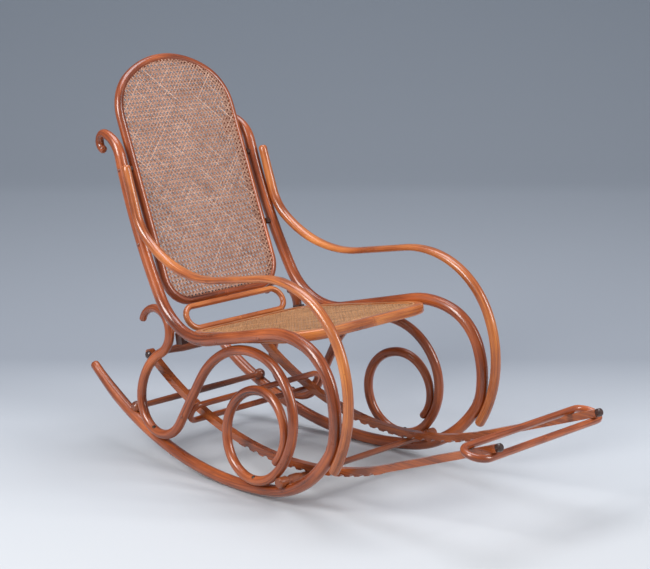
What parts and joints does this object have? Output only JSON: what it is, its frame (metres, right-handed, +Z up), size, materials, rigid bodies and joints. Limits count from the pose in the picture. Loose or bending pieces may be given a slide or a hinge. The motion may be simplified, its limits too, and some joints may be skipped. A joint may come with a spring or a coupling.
{
  "type": "bentwood rocking chair",
  "caption": "Bentwood rocking chair with scrolled side frames, woven cane seat and hooped cane back, and a sliding footrest on curved notched rails.",
  "frame": {"origin": "middle of the footprint's bounding box, on the floor under the rockers", "axes": "+Z up, -Y toward the footrest and the sitter's front, +X toward the sitter's left"},
  "size_m": [0.588, 1.3895, 1.0401],
  "materials": {
    "bentwood": "glossy stained beech",
    "dark_wood": "dark stained turned beech",
    "cane": "woven natural cane, lightly varnished",
    "screw_steel": "dark oxidised screw heads"
  },
  "bodies": {
    "chair": {"side_left": "bentwood", "side_right": "bentwood", "arm_left": "bentwood", "arm_right": "bentwood", "scroll_left": "bentwood", "scroll_right": "bentwood", "back_hoop": "bentwood", "back_cane": "cane", "back_spacers": "dark_wood", "seat_frame": "bentwood", "seat_cane": "cane", "seat_blocks": "dark_wood", "lower_hoop": "bentwood", "stretcher_rear": "dark_wood", "stretcher_front": "dark_wood", "guide_ring": "bentwood", "arm_screws": "screw_steel", "scroll_screws": "screw_steel", "seat_screws": "screw_steel", "back_screws": "screw_steel", "guide_screws": "screw_steel"},
    "footrest": {"foot_rail_left": "bentwood", "foot_rail_right": "bentwood", "foot_cross": "bentwood", "foot_knobs": "dark_wood", "foot_ring": "bentwood", "foot_caps": "dark_wood", "foot_dowels": "bentwood"}
  },
  "joints": [
    {"name": "footrest_slide", "type": "hinge", "parent": "chair", "child": "footrest", "pos_m": [0, -0.047, 0.94367], "axis": [1, 0, 0], "range_deg": [-12, 16]}
  ]
}
